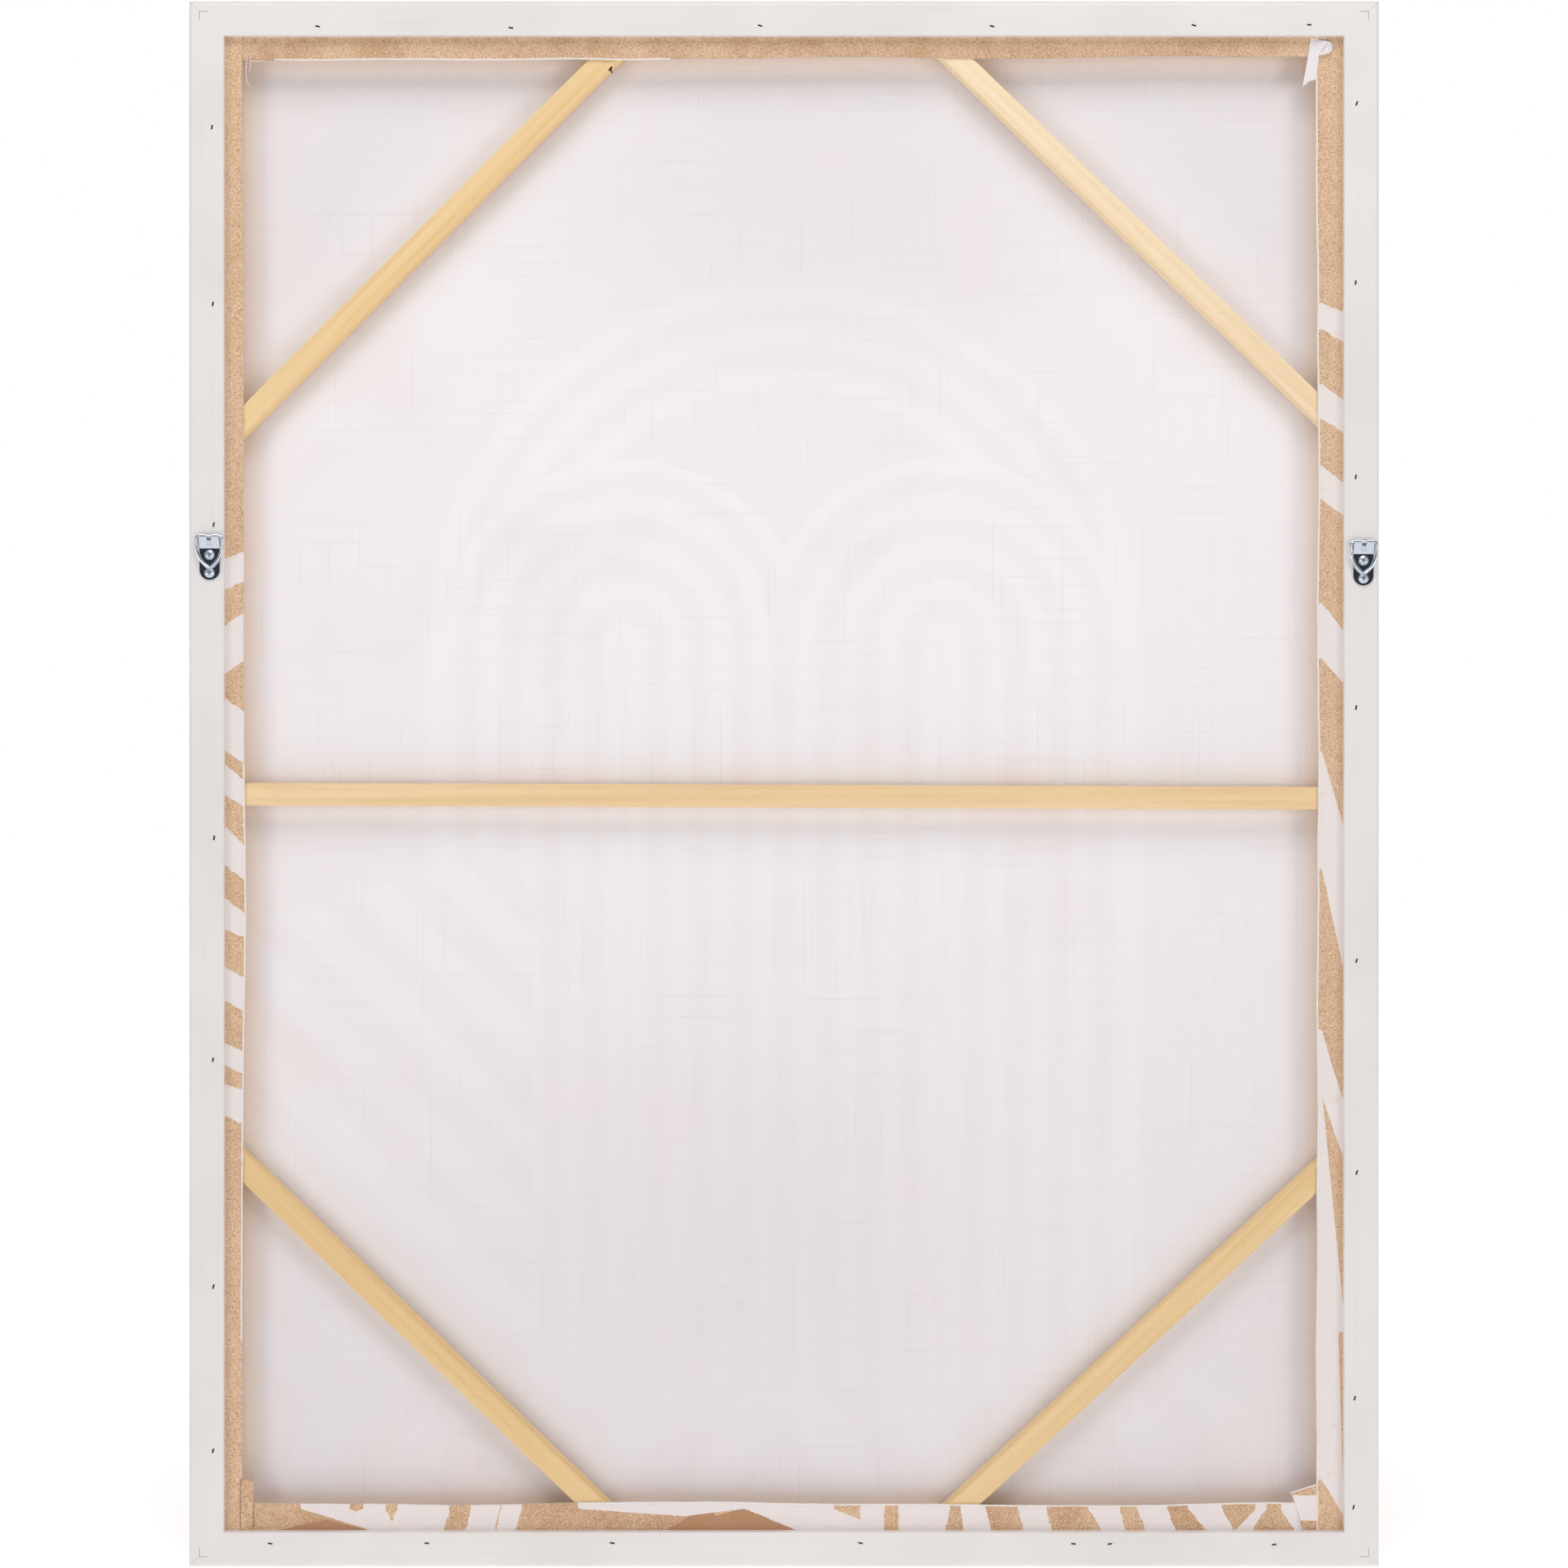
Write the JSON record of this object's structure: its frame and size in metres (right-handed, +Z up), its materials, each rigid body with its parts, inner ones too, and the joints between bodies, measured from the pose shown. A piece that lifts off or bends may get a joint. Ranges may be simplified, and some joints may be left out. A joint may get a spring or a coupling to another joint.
{
  "type": "stretched canvas",
  "caption": "Stretched painted canvas on a braced wooden stretcher in a white floater frame, with strap hangers and swinging D rings on the back",
  "frame": {"origin": "the middle of the frame's bottom edge, half way through the frame's depth", "axes": "+Z is up, the painted side faces -Y and the back with the hangers faces +Y; +X is the right as seen from the painted side"},
  "size_m": [0.95, 0.0369, 1.25],
  "materials": {
    "frame_paint": "satin off-white paint on wood",
    "pine": "bare planed pine",
    "canvas": "primed cotton canvas, painted on one side",
    "zinc": "bright zinc plate",
    "nail_steel": "plain steel"
  },
  "bodies": {
    "frame": {"frame_rail_top": "frame_paint", "frame_rail_bottom": "frame_paint", "frame_rail_left": "frame_paint", "frame_rail_right": "frame_paint", "frame_corner_v_nails": "nail_steel", "frame_brads_top": "nail_steel", "frame_brads_bottom": "nail_steel", "frame_brads_left": "nail_steel", "frame_brads_right": "nail_steel", "stretcher_bar_top": "pine", "stretcher_bar_bottom": "pine", "stretcher_bar_left": "pine", "stretcher_bar_right": "pine", "stretcher_corner_v_nails": "nail_steel", "brace_top_left": "pine", "brace_top_right": "pine", "brace_bottom_left": "pine", "brace_bottom_right": "pine", "crossbar": "pine", "brace_staples": "nail_steel", "brace_brad": "nail_steel", "canvas_face": "canvas", "canvas_wrap_top": "canvas", "canvas_wrap_bottom": "canvas", "canvas_wrap_left": "canvas", "canvas_wrap_right": "canvas", "canvas_staples_top": "nail_steel", "canvas_staples_bottom": "nail_steel", "canvas_staples_left": "nail_steel", "canvas_staples_right": "nail_steel", "left_hanger_strap": "zinc", "left_hanger_screw_upper": "zinc", "left_hanger_screw_lower": "zinc", "right_hanger_strap": "zinc", "right_hanger_screw_upper": "zinc", "right_hanger_screw_lower": "zinc"},
    "right_ring": {"right_hanger_ring": "zinc"},
    "left_ring": {"left_hanger_ring": "zinc"}
  },
  "joints": [
    {"name": "right_ring_swing", "type": "hinge", "parent": "frame", "child": "right_ring", "pos_m": [0.458, 0.01835, 0.8226], "axis": [1, 0, 0], "range_deg": [0, 178]},
    {"name": "left_ring_swing", "type": "hinge", "parent": "frame", "child": "left_ring", "pos_m": [-0.462, 0.01835, 0.8181], "axis": [1, 0, 0], "range_deg": [0, 178]}
  ]
}
